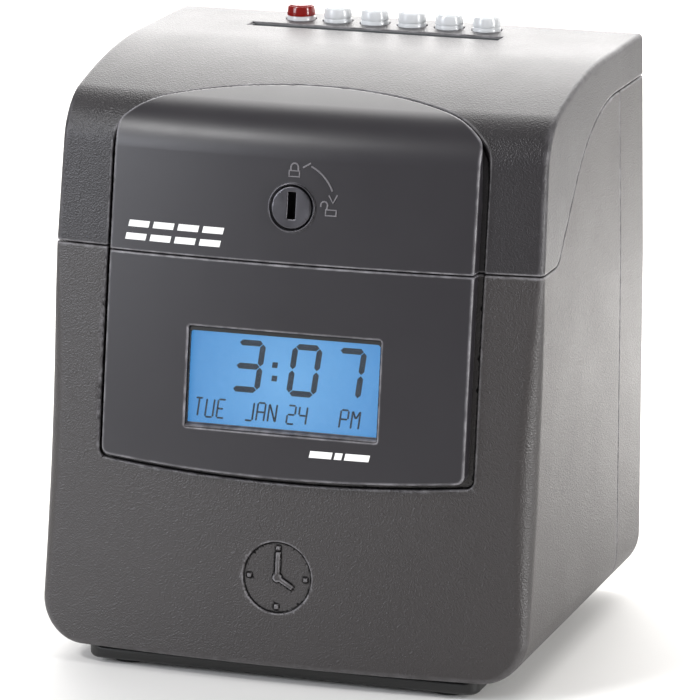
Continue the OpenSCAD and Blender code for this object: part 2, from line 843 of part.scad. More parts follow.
module belt_loop(r) {
    for (x = pulley_x) translate([x, pulley_z]) circle(r);
    translate([pulley_x[0], pulley_z - r]) square([pulley_x[1] - pulley_x[0], 2 * r]);
}
module carriage_belt() {
    color(black) along_y(belt_y0, belt_y0 + belt_w) difference() {
        belt_loop(pulley_r + belt_t);
        belt_loop(pulley_r);
    }
}

// Ribbon cartridge: a flat cassette with two arms that stretch the ribbon across the card
arm_x = [guide_x0 + 1, guide_x1 - 8];
module ribbon_cartridge() {
    color(black) {
        box([guide_x0 + 1, 12, 197], [guide_x1 - 1, 47, 212]);
        for (x = arm_x) box([x, 41, print_z - 9], [x + 7, 48.4, 197 + eps]);
        rod_z(212 - eps, 213, slot_x + 40, 28, 4);
    }
}
module ink_ribbon() {
    color([0.2, 0.1, 0.25])
        box([arm_x[0], 48.4, print_z - 6.5], [arm_x[1] + 7, 48.6, print_z + 6.5]);
}
module ribbon_knob() {
    color(clear_grey) translate([slot_x + 40, 28, 213.4]) {
        cylinder(h = 6, r = 8);
        for (a = [0:30:330]) rotate(a) translate([7.4, -0.9, 0]) cube([1.6, 1.8, 6]);
    }
}

/* ---- Card feed ---- */

module feed_shaft() {
    color(steel) rod_x(frame_x0 - 3, frame_x1 + 10, feed_y, feed_z, 2.5);
}
module feed_roller() {
    color(black) for (x = roller_at) difference() {
        rod_x(slot_x + x - roller_len / 2, slot_x + x + roller_len / 2, feed_y, feed_z, feed_r);
        rod_x(slot_x + x - 20, slot_x + x + 20, feed_y, feed_z, 2.5);
    }
}

// Spur gear outline with straight-sided teeth; the first tooth points along +X
module spur_outline(teeth) {
    r = teeth * pitch / 2;
    circle(r - 1.05 * pitch);
    for (i = [0:teeth - 1]) rotate(i * 360 / teeth)
        polygon([[r - 1.3 * pitch, -0.85], [r + 0.75 * pitch, -0.3],
            [r + 0.75 * pitch, 0.3], [r - 1.3 * pitch, 0.85]]);
}
gear_x0 = frame_x1 + sheet + 2;
gear_x1 = gear_x0 + 5;
module feed_gear() {
    color(clear_grey) along_x(gear_x0, gear_x1) translate([feed_y, feed_z]) rotate(pinion_angle) difference() {
        spur_outline(feed_teeth);
        circle(2.5);
    }
}
module feed_pinion() {
    color(steel) {
        along_x(gear_x0, gear_x1) translate(pinion_at) rotate(pinion_angle + 180 + 180 / pinion_teeth)
            spur_outline(pinion_teeth);
        rod_x(frame_x1 - 10, gear_x0 + eps, pinion_at[0], pinion_at[1], 1.2);
    }
}
module feed_motor() {
    color(steel) difference() {
        rod_x(frame_x1 - 27, frame_x1, pinion_at[0], pinion_at[1], 12);
        rod_x(frame_x1 - 11, frame_x1 + 1, pinion_at[0], pinion_at[1], 1.26);
    }
}
module pinch_roller() {
    color(black) {
        rod_x(frame_x0 - 1, frame_x1 + sheet + 1, pinch_y, feed_z, 1.5);
        for (x = roller_at)
            rod_x(slot_x + x - roller_len / 2, slot_x + x + roller_len / 2, pinch_y, feed_z, pinch_r);
    }
}

/* ---- Electrics ---- */

board_x = -93;
module main_board() {
    color(board_green) {
        box([board_x, -50, 24], [board_x + board_t, 44, 128]);
        box([board_x + board_t - eps, -20, 70], [board_x + 4, 8, 98]);
        box([board_x + board_t - eps, 20, 90], [board_x + 12, 34, 118]);
        box([board_x + board_t - eps, -44, 30], [board_x + 9, -24, 44]);
    }
}
module coin_cell() {
    color(steel) rod_x(board_x + board_t, board_x + 5, -34, 84, 10);
}
module power_inlet() {
    color(black) {
        difference() {
            union() {
                box([inlet_x - 5.5, back_y - 17, inlet_z - 6],
                    [inlet_x + 5.5, back_y - wall - 0.1, inlet_z + 6]);
                rod_y(back_y - wall - 0.2, back_y - 0.4, inlet_x, inlet_z, inlet_r - 0.1);
            }
            rod_y(back_y - 11, back_y + 1, inlet_x, inlet_z, 2.8);
        }
        rod_y(back_y - 11 - eps, back_y - 3, inlet_x, inlet_z, 1);
    }
}

front_housing();
rear_housing();
base_plate();
rubber_feet();
base_screws();
display_fascia();
display_bezel();
display_window();
lcd_panel();
display_backlight();
display_board();
top_cover();
cover_fascia();
slot_liner();
lock_barrel();
lock_nut();
button_board();
button_switches();
button_lamp();
board_screws();
lock_plug();
lock_cam();
lock_screw();
button_1();
button_2();
button_3();
button_4();
button_5();
button_6();
hinge_pins();
frame_left();
frame_right();
frame_screws();
card_guide_front();
card_guide_rear();
card_stop();
carriage_rod();
print_carriage();
print_head();
motor_plate();
carriage_motor();
drive_pulley();
idler_pulley();
carriage_belt();
ribbon_cartridge();
ink_ribbon();
ribbon_knob();
feed_shaft();
feed_roller();
feed_gear();
feed_motor();
feed_pinion();
pinch_roller();
main_board();
coin_cell();
power_inlet();
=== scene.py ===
import json
import math

import bmesh
import bpy
import numpy as np
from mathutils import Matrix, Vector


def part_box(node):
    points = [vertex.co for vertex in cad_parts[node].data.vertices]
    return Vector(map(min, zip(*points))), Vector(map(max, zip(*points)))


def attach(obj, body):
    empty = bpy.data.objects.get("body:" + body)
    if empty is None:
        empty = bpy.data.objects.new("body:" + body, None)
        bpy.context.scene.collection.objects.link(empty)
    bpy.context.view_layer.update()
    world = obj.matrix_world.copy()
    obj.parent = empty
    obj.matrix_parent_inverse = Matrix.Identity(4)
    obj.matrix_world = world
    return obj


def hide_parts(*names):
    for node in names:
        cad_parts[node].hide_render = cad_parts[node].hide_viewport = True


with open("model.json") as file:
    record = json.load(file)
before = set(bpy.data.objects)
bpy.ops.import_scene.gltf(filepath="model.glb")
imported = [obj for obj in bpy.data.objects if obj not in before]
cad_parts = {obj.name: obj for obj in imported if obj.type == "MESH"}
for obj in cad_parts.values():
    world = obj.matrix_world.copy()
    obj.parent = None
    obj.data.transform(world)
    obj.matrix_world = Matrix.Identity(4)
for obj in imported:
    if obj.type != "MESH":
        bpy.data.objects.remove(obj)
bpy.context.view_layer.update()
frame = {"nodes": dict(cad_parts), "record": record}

import openvdb
from mathutils import Matrix, Vector

# Lengths below are millimetres in the CAD frame; MM turns them into metres.
MM = 0.001


def node_box(name):
    """Lowest and highest corner of a CAD node, in millimetres."""
    return [np.array(corner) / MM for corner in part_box(name)]


def node_middle(name):
    low, high = node_box(name)
    return (low + high) / 2


# ---------------------------------------------------------------- the case's own dimensions

SEAM_GAP = 0.5
HALF_W = node_box("front_housing")[1][0]
CASE_Z0 = node_box("front_housing")[0][2]
CASE_H = node_box("slot_liner")[1][2] + 0.6
FRONT_Y = node_box("front_housing")[0][1]
SHELL_JOINT_Y = node_box("front_housing")[1][1] + SEAM_GAP / 2
SEAM_FRONT_Z = node_box("cover_fascia")[0][2] - SEAM_GAP / 2
SEAM_BACK_Z = 217.0
BACK_Y = 84.0
WALL = 3.0
# The front leans back, bows upwards and is crowned from side to side.
# The top falls from its level part to the bend.
LEAN, BOW_R = 0.112, 3030.0
CROWN_Y = FRONT_Y + 820.0
TOP_LEVEL_Y = 24.7
BEND_DROP, BEND_R = 15.0, 12.5
BACK_EDGE_R = 2.0
DRAFT, DRAFT_Z, DRAFT_TOP = 1.7, SEAM_FRONT_Z - 20, CASE_H + 10
FOOT_R = 18.0
# The parting line runs level at the front, up a slope and level again at the back
SEAM_BEND_R, SEAM_FOOT_R = 78.0, 10.0
SEAM_LEVEL_Y = 43.3
SLOPE = math.radians(47)

# The raised panel: its half width, how far it stands out, its lower edge and the arch of its upper edge
FASCIA_W = node_box("display_fascia")[1][0]
FASCIA_PROUD = 4.5
FASCIA_Z0, FASCIA_EDGE_R = 82.5, 830.0
ARCH_Y, ARCH_R = -31.5, 130.0
FASCIA_FOOT_R, SHOULDER_R = 3.0, 1.5
# Depth of the pocket it sits in, its own thickness and the width of the groove round it
POCKET, SKIN, GROOVE = 1.5, 2.0, 2.6


def front_at(z):
    """Y of the front face at height z, in the middle."""
    return FRONT_Y + LEAN * (z - CASE_Z0) + (z - CASE_Z0) ** 2 / (2 * BOW_R)


def front_tilt(z):
    """How far the front leans back at height z, as an angle."""
    return math.atan(LEAN + (z - CASE_Z0) / BOW_R)


BEND_Y = front_at(CASE_H - BEND_DROP)
TOP_BOW_R = (TOP_LEVEL_Y - BEND_Y) ** 2 / (2 * BEND_DROP)

# ---------------------------------------------------------------- signed distances
# A field gives the distance of points p, an array of three rows, from a solid: below zero is inside it.


def smax(a, b, r):
    """The space inside both a and b, whose common edge is rounded to radius r."""
    arc = np.hypot(np.maximum(a + r, 0), np.maximum(b + r, 0)) - r
    return np.where((a > -r) & (b > -r), arc, np.maximum(a, b))


def cut(a, b, r=0.0):
    """a without b."""
    return smax(a, -b, r) if r else np.maximum(a, -b)


def block(p, low, high, r=0.0):
    """A box between two corners, with round edges of radius r."""
    centre = (np.array(low) + np.array(high)) / 2
    q = np.abs(p - centre[:, None]) - (np.array(high) - centre)[:, None] + r
    return np.linalg.norm(np.maximum(q, 0), axis=0) + np.minimum(q.max(axis=0), 0) - r


def rod(p, axis, at, radius, low, high, r=0.0):
    """A cylinder along axis 0, 1 or 2 through at, from low to high, with round rims of radius r."""
    others = [i for i in range(3) if i != axis]
    side = np.hypot(p[others[0]] - at[others[0]], p[others[1]] - at[others[1]]) - radius
    ends = np.abs(p[axis] - (low + high) / 2) - (high - low) / 2
    return smax(side, ends, r) if r else np.maximum(side, ends)


def local(p, place):
    """Points p in the coordinates of a placed frame."""
    back = np.array(place.inverted())
    return back[:3, :3] @ p + back[:3, 3:]


def front_and_top(p, back=0.0, up=0.0, bend_r=BEND_R):
    """The crowned front and the top of the case as one bent skin, moved back and up."""
    x, y, z = p
    crowned = CROWN_Y - np.hypot(x, CROWN_Y - y) - back
    z = z - up
    lean = LEAN + (z - CASE_Z0) / BOW_R
    front = (front_at(z) - crowned) / np.sqrt(1 + lean**2)
    fall = np.maximum(0, TOP_LEVEL_Y - crowned) / TOP_BOW_R
    top = (z - CASE_H + fall**2 * TOP_BOW_R / 2) / np.sqrt(1 + fall**2)
    return smax(front, top, bend_r)


def case(p, inset=0.0, edge_r=2.2):
    """The whole case as one block, moved inwards by inset."""
    x, y, z = p
    skin = front_and_top(p, inset, -inset, BEND_R - inset)
    taper = DRAFT * np.maximum(0, z - DRAFT_Z) / (DRAFT_TOP - DRAFT_Z)
    outline = smax(np.abs(x) - (HALF_W - inset - taper), CASE_Z0 + inset - z, FOOT_R - inset)
    outline = smax(outline, y - (BACK_Y - inset), BACK_EDGE_R)
    return smax(skin, outline, edge_r)


def over_seam(p):
    """Height over the parting line between the cover and the housings."""
    y, z = p[1], p[2]
    along, across = (math.cos(SLOPE), math.sin(SLOPE)), (-math.sin(SLOPE), math.cos(SLOPE))
    bend_c = (SEAM_LEVEL_Y, SEAM_BACK_Z - SEAM_BEND_R)
    slope_end = (bend_c[0] + SEAM_BEND_R * across[0], bend_c[1] + SEAM_BEND_R * across[1])
    foot_y = slope_end[0] - (slope_end[1] - SEAM_FRONT_Z) / math.tan(SLOPE)
    foot_c = (foot_y - SEAM_FOOT_R * math.tan(SLOPE / 2), SEAM_FRONT_Z + SEAM_FOOT_R)
    slope = (y - slope_end[0]) * across[0] + (z - slope_end[1]) * across[1]
    past_foot = (y - foot_c[0]) * along[0] + (z - foot_c[1]) * along[1] > 0
    before_bend = (y - bend_c[0]) * along[0] + (z - bend_c[1]) * along[1] < 0
    foot = SEAM_FOOT_R - np.hypot(y - foot_c[0], z - foot_c[1])
    bend = np.hypot(y - bend_c[0], z - bend_c[1]) - SEAM_BEND_R
    level = np.where(before_bend, slope, np.where(y < bend_c[0], bend, z - SEAM_BACK_Z))
    return np.where(y < foot_c[0], z - SEAM_FRONT_Z, np.where(past_foot, level, foot))


def fascia_column(p, inset):
    """Outline of the raised panel, drawn in by inset."""
    x, y, z = p
    lower = np.hypot(x, z - FASCIA_Z0 - FASCIA_EDGE_R) - (FASCIA_EDGE_R - inset)
    arch = np.hypot(x, y - ARCH_Y + ARCH_R) - (ARCH_R - inset)
    return smax(smax(np.abs(x) - (FASCIA_W - inset), lower, FASCIA_FOOT_R), arch, SHOULDER_R)


# ---------------------------------------------------------------- from distances to meshes

BLOCK, CHUNK, QUICK_STEP = 8, 1500, 1.7
EDGE_REACH = 0.7


def gradient(field, p, h):
    steps = np.eye(3) * h
    return np.array([field(p + s[:, None]) - field(p - s[:, None]) for s in steps]) / (2 * h)


def sampled(field, low, step, counts):
    """The field on a grid, worked out only in the blocks near its surface."""
    starts = np.stack(np.meshgrid(*[np.arange(n) for n in counts], indexing="ij"), -1).reshape(-1, 3)
    middles = low[:, None] + (starts.T * BLOCK + BLOCK / 2) * step
    at = field(middles).reshape(counts)
    values = np.sign(at).astype(np.float32) * 3 * step
    for axis in range(3):
        values = np.repeat(values, BLOCK, axis)
    shape = [n for count in counts for n in (count, BLOCK)]
    blocks = values.reshape(shape).transpose(0, 2, 4, 1, 3, 5)
    near = starts[np.abs(at).ravel() < BLOCK * step * 1.25]
    inner = np.stack(np.meshgrid(*[np.arange(BLOCK)] * 3, indexing="ij"), -1).reshape(-1, 3)
    for i in range(0, len(near), CHUNK):
        part = near[i : i + CHUNK]
        index = (part[:, None, :] * BLOCK + inner[None]).reshape(-1, 3)
        found = field(low[:, None] + index.T * step).reshape(-1, BLOCK, BLOCK, BLOCK)
        blocks[part[:, 0], part[:, 1], part[:, 2]] = found
    return values


def moulded(name, field, low, high, step=0.6, adaptivity=0.02):
    """A closed mesh of the space where field is below zero, with exact normals and a measure of its edges."""
    low = np.array(low, float) - 2 * step
    counts = [int(math.ceil((b + 4 * step - a) / step / BLOCK)) for a, b in zip(low, high)]
    grid = openvdb.FloatGrid(3 * step)
    grid.copyFromArray(np.ascontiguousarray(sampled(field, low, step, counts)))
    points, triangles, quads = grid.convertToPolygons(0.0, adaptivity)
    p = low[:, None] + points.astype(float).T * step
    for _ in range(3):
        g = gradient(field, p, 0.02)
        size = np.maximum((g**2).sum(0), 0.2)
        p = p - g * np.clip(field(p) / size, -0.4 * step, 0.4 * step)
    normals = gradient(field, p, 0.05)
    normals /= np.maximum(np.linalg.norm(normals, axis=0), 1e-6)
    mesh = bpy.data.meshes.new(name)
    mesh.from_pydata((p.T * MM).tolist(), [], triangles.tolist() + quads.tolist())
    mesh.polygons.foreach_set("use_smooth", np.ones(len(mesh.polygons), bool))
    centre = field(p)
    around = sum(field(p + s[:, None]) + field(p - s[:, None]) - 2 * centre for s in np.eye(3) * EDGE_REACH)
    edge = mesh.attributes.new("edge", "FLOAT", "POINT")
    edge.data.foreach_set("value", (around / EDGE_REACH**2).astype(np.float32))
    mesh.normals_split_custom_set_from_vertices(normals.T.tolist())
    piece = bpy.data.objects.new(name, mesh)
    bpy.context.scene.collection.objects.link(piece)
    return piece


# ---------------------------------------------------------------- other mesh helpers


def mesh_piece(name, bm, smooth=True):
    mesh = bpy.data.meshes.new(name)
    bmesh.ops.recalc_face_normals(bm, faces=bm.faces)
    bm.to_mesh(mesh)
    bm.free()
    mesh.polygons.foreach_set("use_smooth", np.full(len(mesh.polygons), smooth))
    mesh.set_sharp_from_angle(angle=math.radians(32))
    piece = bpy.data.objects.new(name, mesh)
    bpy.context.scene.collection.objects.link(piece)
    return piece


def turned(bm, outline, place, steps=64):
    """Adds a turned solid from (radius, height) pairs, from axis to axis or all round a ring."""
    rings = []
    for radius, height in outline:
        count = steps if radius > 1e-6 else 1
        spokes = [2 * math.pi * i / steps for i in range(count)]
        points = [Vector((radius * math.cos(a), radius * math.sin(a), height)) for a in spokes]
        rings.append([bm.verts.new(place @ point * MM) for point in points])
    if outline[0][0] > 1e-6:
        rings.append(rings[0])
    for a, b in zip(rings, rings[1:]):
        for i in range(steps):
            j = (i + 1) % steps
            corners = [a[i % len(a)], a[j % len(a)], b[j % len(b)], b[i % len(b)]]
            bm.faces.new(list(dict.fromkeys(corners)))


def lathe(name, outlines, place=Matrix.Identity(4), steps=64):
    bm = bmesh.new()
    for outline in outlines:
        turned(bm, outline, place, steps)
    return mesh_piece(name, bm)


def rounded(corners, radii, steps=5):
    """An open outline with its inner corners rounded by arcs."""
    done = [Vector(corners[0])]
    for before, here, after, r in zip(corners, corners[1:], corners[2:], radii):
        here = Vector(here)
        a, b = (Vector(before) - here).normalized(), (Vector(after) - here).normalized()
        half = a.angle(b) / 2
        reach = r / math.tan(half)
        centre = here + (a + b).normalized() * (r / math.sin(half))
        start, end = here + a * reach, here + b * reach
        for i in range(steps + 1):
            spoke = (start - centre).lerp(end - centre, i / steps).normalized() * r
            done.append(centre + spoke)
    return done + [Vector(corners[-1])]


def face_y(x, z, proud):
    """Y of the crowned front face, or of the panel that stands proud of it."""
    crown = CROWN_Y - front_at(z) + proud
    return CROWN_Y - math.sqrt(crown**2 - x**2)


def face_place(x, z, proud):
    """A frame on the front face: X right, Y up the slope, Z outwards."""
    turn = Matrix.Rotation(math.pi / 2 - front_tilt(z), 4, "X")
    return Matrix.Translation((x, face_y(x, z, proud), z)) @ turn


def printed(name, shapes, proud, lift=0.06, cell=1.2):
    """Thin printed marks on the front face: each shape is a convex (x, z) outline."""
    bm = bmesh.new()
    for shape in shapes:
        bm.faces.new([bm.verts.new((x, 0, z)) for x, z in shape])
    long_edges = [e for e in bm.edges if e.calc_length() > 2 * cell]
    if long_edges:
        bmesh.ops.subdivide_edges(bm, edges=long_edges, cuts=4, use_grid_fill=True)
    bmesh.ops.triangulate(bm, faces=bm.faces)
    for v in bm.verts:
        out = face_place(v.co.x, v.co.z, proud).to_3x3() @ Vector((0, 0, lift))
        v.co = (Vector((v.co.x, face_y(v.co.x, v.co.z, proud), v.co.z)) + out) * MM
    top = list(bm.faces)
    made = bmesh.ops.extrude_face_region(bm, geom=top)
    for v in [g for g in made["geom"] if isinstance(g, bmesh.types.BMVert)]:
        v.co.y += (lift + 0.15) * MM
    return mesh_piece(name, bm, smooth=False)


def moulded_line(name, strokes, proud, radius, lift):
    """Thin raised lines on the front face, as tubes along (x, z) strokes."""
    curve = bpy.data.curves.new(name, "CURVE")
    curve.dimensions = "3D"
    curve.bevel_depth = radius * MM
    curve.bevel_resolution = 3
    curve.use_fill_caps = True
    for points, closed in strokes:
        spline = curve.splines.new("POLY")
        spline.points.add(len(points) - 1)
        for target, (x, z) in zip(spline.points, points):
            out = face_place(x, z, proud).to_3x3() @ Vector((0, 0, lift))
            target.co = [*((Vector((x, face_y(x, z, proud), z)) + out) * MM), 1]
        spline.use_cyclic_u = closed
    shaped = bpy.data.objects.new(name + "_line", curve)
    bpy.context.scene.collection.objects.link(shaped)
    bpy.context.view_layer.update()
    mesh = bpy.data.meshes.new_from_object(shaped.evaluated_get(bpy.context.evaluated_depsgraph_get()))
    bpy.data.objects.remove(shaped)
    mesh.polygons.foreach_set("use_smooth", np.ones(len(mesh.polygons), bool))
    piece = bpy.data.objects.new(name, mesh)
    bpy.context.scene.collection.objects.link(piece)
    return piece


# ---------------------------------------------------------------- materials


class Nodes:
    """A new material with its Principled shader, and short calls to add nodes."""

    def __init__(self, name, **settings):
        self.material = bpy.data.materials.new(name)
        self.material.use_nodes = True
        self.tree = self.material.node_tree
        self.shader = self.tree.nodes["Principled BSDF"]
        for socket, value in settings.items():
            self.shader.inputs[socket.replace("_", " ")].default_value = value
        self.place = self.tree.nodes.new("ShaderNodeTexCoord").outputs["Object"]

    def add(self, kind, **inputs):
        node = self.tree.nodes.new("ShaderNode" + kind)
        for socket, value in inputs.items():
            self.put(node.inputs[socket.replace("_", " ")], value)
        return node

    def put(self, socket, value):
        if isinstance(value, bpy.types.NodeSocket):
            self.tree.links.new(value, socket)
        else:
            socket.default_value = value

    def noise(self, scale, detail=2.0, roughness=0.5):
        return self.add("TexNoise", Vector=self.place, Scale=scale, Detail=detail, Roughness=roughness)

    def ramp(self, value, low, high, to_low, to_high):
        node = self.add("MapRange", Value=value, From_Min=low, From_Max=high, To_Min=to_low, To_Max=to_high)
        return node.outputs["Result"]

    def blend(self, share, a, b):
        node = self.tree.nodes.new("ShaderNodeMix")
        node.data_type = "RGBA"
        self.put(node.inputs[0], share)
        self.put(node.inputs[6], a)
        self.put(node.inputs[7], b)
        return node.outputs[2]

    def bump(self, height, distance, strength=1.0, normal=None):
        node = self.add("Bump", Height=height, Distance=distance, Strength=strength)
        if normal:
            self.put(node.inputs["Normal"], normal)
        return node.outputs["Normal"]


def rgb(hex_code):
    """Linear colour of an sRGB hex code."""
    parts = [int(hex_code[i : i + 2], 16) / 255 for i in (0, 2, 4)]
    return [c / 12.92 if c <= 0.04045 else ((c + 0.055) / 1.055) ** 2.4 for c in parts] + [1.0]


# Near-black painted shade for concave creases and grooves.
PAINTED_CREASE_SHADE = "0a090a"


def plastic(name, colour, rough, grain=0.0, grain_scale=2600, edge_highlight="", mottle=0.06, edges=False, **more):
    """Moulded plastic: colour drift, uneven gloss, spark-eroded grain, paler edges as a painted highlight in
    patches, and creases painted dark and dull as shade.
    """
    n = Nodes(name, **more)
    base = rgb(colour)
    dark = [c * (1 - mottle) for c in base[:3]] + [1]
    light = [c * (1 + mottle) for c in base[:3]] + [1]
    drift = n.noise(14, 4)
    tone = n.blend(drift.outputs["Fac"], dark, light)
    gloss = n.ramp(n.noise(38, 5, 0.6).outputs["Fac"], 0.3, 0.7, rough - 0.02, rough + 0.02)
    if edges:
        edge = n.add("Attribute")
        edge.attribute_name = "edge"
        # Painted highlight: rounded edges take the paler edge colour, in patches.
        patchy = n.ramp(n.noise(220, 3).outputs["Fac"], 0.35, 0.7, 0.3, 1.0)
        share = n.add("Math")
        share.operation = "MULTIPLY"
        n.put(share.inputs[0], n.ramp(edge.outputs["Fac"], 0.15, 1.2, 0, 0.6))
        n.put(share.inputs[1], patchy)
        tone = n.blend(share.outputs[0], tone, rgb(edge_highlight))
        # Painted shade: concave creases turn near-black and lose most of their specular.
        crease = n.ramp(edge.outputs["Fac"], -1.0, -0.1, 1, 0)
        tone = n.blend(crease, tone, rgb(PAINTED_CREASE_SHADE))
        sheen = n.shader.inputs["Specular IOR Level"]
        n.put(sheen, n.ramp(crease, 0, 1, sheen.default_value, 0.1))
    n.put(n.shader.inputs["Base Color"], tone)
    n.put(n.shader.inputs["Roughness"], gloss)
    if grain:
        cells = n.add("TexVoronoi", Vector=n.place, Scale=grain_scale)
        cells.feature = "SMOOTH_F1"
        soft = n.noise(grain_scale * 0.6, 2)
        normal = n.bump(cells.outputs["Distance"], grain)
        n.put(n.shader.inputs["Normal"], n.bump(soft.outputs["Fac"], grain * 0.4, normal=normal))
    else:
        ripple = n.noise(500, 3)
        n.put(n.shader.inputs["Normal"], n.bump(ripple.outputs["Fac"], 0.000012))
    return n.material


def metal(name, colour, rough, brushed=None, wear=0.08):
    """Plain or brushed metal with uneven gloss; brushed gives the scale of the lines along X, Y and Z."""
    n = Nodes(name, Metallic=1.0)
    base = rgb(colour)
    tone = n.blend(n.noise(60, 4).outputs["Fac"], [c * 0.82 for c in base[:3]] + [1], base)
    gloss = n.ramp(n.noise(140, 5, 0.6).outputs["Fac"], 0.3, 0.7, rough - wear, rough + wear)
    n.put(n.shader.inputs["Base Color"], tone)
    n.put(n.shader.inputs["Roughness"], gloss)
    stretch = n.add("Mapping", Vector=n.place)
    stretch.inputs["Scale"].default_value = brushed or (900, 900, 900)
    lines = n.add("TexNoise", Vector=stretch.outputs["Vector"], Scale=1.0, Detail=3.0)
    n.put(n.shader.inputs["Normal"], n.bump(lines.outputs["Fac"], 0.000015))
    return n.material


def clear_plastic(name, tint, rough=0.06, glow=None, glow_strength=0.0, see_through=1.0):
    """Clear or milky moulded plastic with fine flow lines and dust in its gloss."""
    n = Nodes(name, IOR=1.49, Transmission_Weight=see_through)
    lighter = [min(1, c * 1.06) for c in rgb(tint)]
    n.put(n.shader.inputs["Base Color"], n.blend(n.noise(90, 3).outputs["Fac"], rgb(tint), lighter))
    gloss = n.ramp(n.noise(400, 4).outputs["Fac"], 0.35, 0.7, rough, rough + 0.08)
    n.put(n.shader.inputs["Roughness"], gloss)
    n.put(n.shader.inputs["Normal"], n.bump(n.noise(260, 2).outputs["Fac"], 0.00002))
    if glow:
        n.shader.inputs["Emission Color"].default_value = rgb(glow)
        n.shader.inputs["Emission Strength"].default_value = glow_strength
    return n.material


def lit_screen(name, edge, middle):
    """A backlit liquid crystal panel: brighter in the middle, with a fine cell pattern."""
    n = Nodes(name, Roughness=0.35)
    n.shader.inputs["Base Color"].default_value = rgb("20384f")
    centre = node_middle("lcd_panel") * MM
    away = n.add("VectorMath")
    away.operation = "DISTANCE"
    n.put(away.inputs[0], n.place)
    n.put(away.inputs[1], tuple(centre))
    share = n.ramp(away.outputs["Value"], 0.0, 0.046, 1, 0)
    cells = n.ramp(n.noise(700, 2).outputs["Fac"], 0.3, 0.7, -0.06, 0.06)
    total = n.add("Math")
    n.put(total.inputs[0], share)
    n.put(total.inputs[1], cells)
    n.put(n.shader.inputs["Emission Color"], n.blend(total.outputs[0], rgb(edge), rgb(middle)))
    n.shader.inputs["Emission Strength"].default_value = 0.95
    n.put(n.shader.inputs["Roughness"], n.ramp(n.noise(60, 3).outputs["Fac"], 0.3, 0.7, 0.3, 0.42))
    return n.material


# The paler edge colours given below are painted highlights on the rounded edges.
CASE = plastic("case_plastic", "241f1f", 0.45, grain=0.0002, grain_scale=1800, edge_highlight="8e8c90", edges=True,
               Specular_IOR_Level=0.7)
COVER = plastic("cover_plastic", "201d20", 0.41, grain=0.00016, grain_scale=1800, edge_highlight="9a989c", edges=True,
                Specular_IOR_Level=0.5)
PANEL = plastic("panel_plastic", "262428", 0.34, grain=0.00001, grain_scale=5200, edge_highlight="a2a0a5", edges=True,
                Specular_IOR_Level=0.48)
# The raised icon lines are moulded in the panel's plastic; their paler colour is a painted highlight.
HIGHLIT_RAISED = plastic("raised_lines_highlit", "6a686c", 0.4, grain=0.00001, grain_scale=5200)
BLACK = plastic("black_plastic", "141414", 0.45, grain=0.00003, grain_scale=2600)
LINER_GREY = plastic("slot_plastic", "4c4e50", 0.5, grain=0.00003, grain_scale=2600)
RUBBER = plastic("rubber", "1a1a1b", 0.85, grain=0.00006, grain_scale=1800)
WHITE = plastic("white_plastic", "d9d9d4", 0.45, grain=0.00002)
INK = plastic("printed_ink", "f7f7f5", 0.5, mottle=0.03)
SEGMENT = plastic("lcd_segment", "3b4552", 0.6, mottle=0.05)
BOARD = plastic("circuit_board", "1d5b38", 0.42, grain=0.00004, grain_scale=900)
RIBBON = plastic("ribbon_fabric", "2a1f35", 0.8, grain=0.00006, grain_scale=3400)
DIFFUSER = plastic("diffuser", "e8eef2", 0.6)
STEEL = metal("steel_sheet", "9a9da1", 0.38, brushed=(60, 60, 2500))
ROD = metal("ground_steel", "b4b7ba", 0.22)
LOCK = metal("lock_metal", "5a595d", 0.34)
BRASS = metal("brass", "b08d4a", 0.3)
WINDOW = clear_plastic("display_window", "f4f8fb", 0.03)
CLEAR = clear_plastic("clear_cap", "f2f4f6", 0.14, see_through=0.35)
# The red cap's faint glow is painted light that brightens its red.
RED = clear_plastic("red_cap", "8a1512", 0.12, glow="c01812", glow_strength=0.08, see_through=0.4)
LAMP = clear_plastic("red_lamp", "ff3a2a", 0.1, glow="ff2a1a", glow_strength=3.0)
LCD = lit_screen("lcd_glow", "4c90cf", "74b2e8")


# ---------------------------------------------------------------- case pieces


def lower_edge(z):
    """Radius of the upright front edges of the lower case: widest half way up."""
    return 2.0 + 5.5 * np.sin(math.pi * np.clip((z - CASE_Z0) / (SEAM_FRONT_Z - CASE_Z0), 0, 1))


def recess(p):
    """Pocket for the raised panel, with the groove round it."""
    return np.maximum(fascia_column(p, -GROOVE), -case(p, POCKET))


def shell(p, edge_r=2.2):
    return cut(case(p, edge_r=edge_r), case(p, WALL, edge_r=3.0))


MARK_Z, MARK_R, MARK_DEPTH = 43.3, 14.0, 0.9
BOSS_TOP, BOSS_R, SCREW_R = CASE_Z0 + WALL + 9, 3.5, 1.55
SCREW_AT = [(-50, -55), (50, -55), (-50, 20), (50, 20), (-45, 64), (45, 64)]
# The ledge and rib that the lock's cam catches behind
CATCH_X, CATCH_Y, CATCH_Z, CATCH_TOP = (-9, 10), -43.5, 150, 162


def mark(p):
    """Debossed disc with a hub, two clock hands and four hour marks left standing."""
    u, v, w = local(p, face_place(0, MARK_Z, 0))
    radius = np.hypot(u, v)

    def hand(turn, half, start, end):
        c, s = math.cos(turn), math.sin(turn)
        a, b = u * c + v * s, v * c - u * s
        return np.maximum(np.abs(a) - half, np.abs(b - (start + end) / 2) - (end - start) / 2)

    left = np.minimum(radius - 1.8, np.minimum(hand(0, 0.9, 0, 10), hand(math.radians(-120), 0.9, 0, 7.4)))
    for i in range(4):
        left = np.minimum(left, hand(i * math.pi / 2, 0.8, 10.6, 12.4))
    flat = smax(radius - MARK_R, -left, 0.3)
    return smax(flat, -w - MARK_DEPTH, 0.2)


